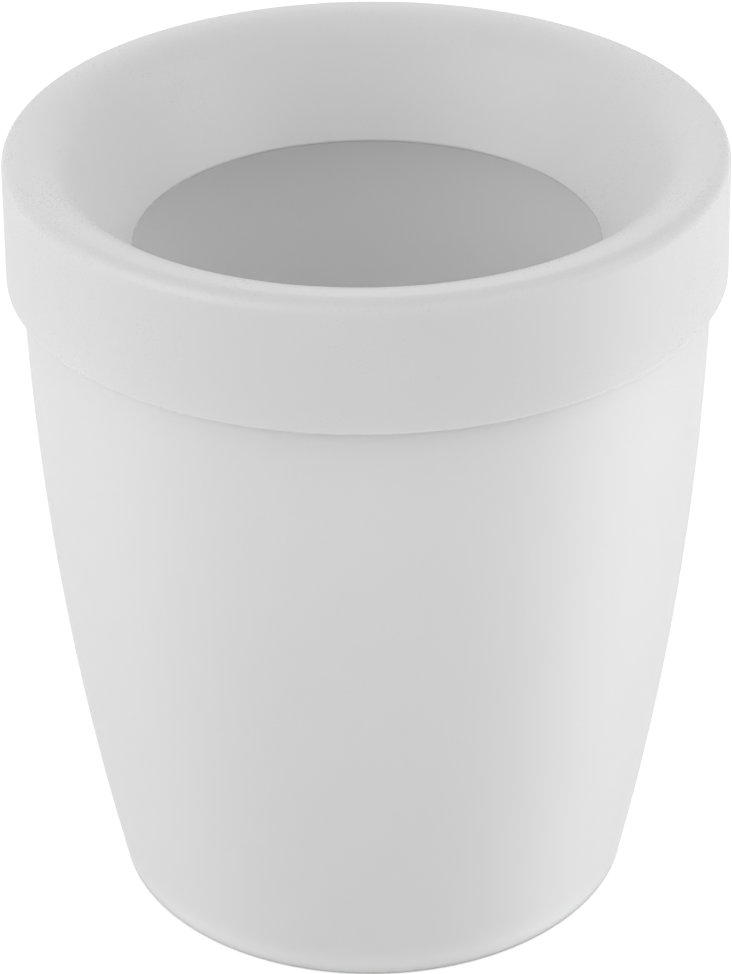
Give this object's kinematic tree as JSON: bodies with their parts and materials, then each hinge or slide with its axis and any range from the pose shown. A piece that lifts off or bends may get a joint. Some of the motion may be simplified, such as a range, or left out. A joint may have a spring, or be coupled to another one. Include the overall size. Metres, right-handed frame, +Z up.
{
  "type": "wastebasket",
  "caption": "Round tapered office wastebasket with a deep lift-off funnel ring over its rim.",
  "frame": {"origin": "centre of the base, in the plane that the foot ring stands on", "axes": "+Z up along the basket's axis of revolution; X and Y are interchangeable apart from the ribs under the ring"},
  "size_m": [0.2816, 0.2816, 0.322],
  "materials": {
    "basket_plastic": "fine matte moulding texture, very light grey",
    "ring_plastic": "fine matte moulding texture, very light grey"
  },
  "bodies": {
    "basket": {"basket": "basket_plastic"},
    "ring": {"funnel_ring": "ring_plastic"}
  },
  "joints": [
    {"name": "ring_lift", "type": "slide", "parent": "basket", "child": "ring", "axis": [0, 0, 1], "range_m": [0, 0.1]}
  ]
}
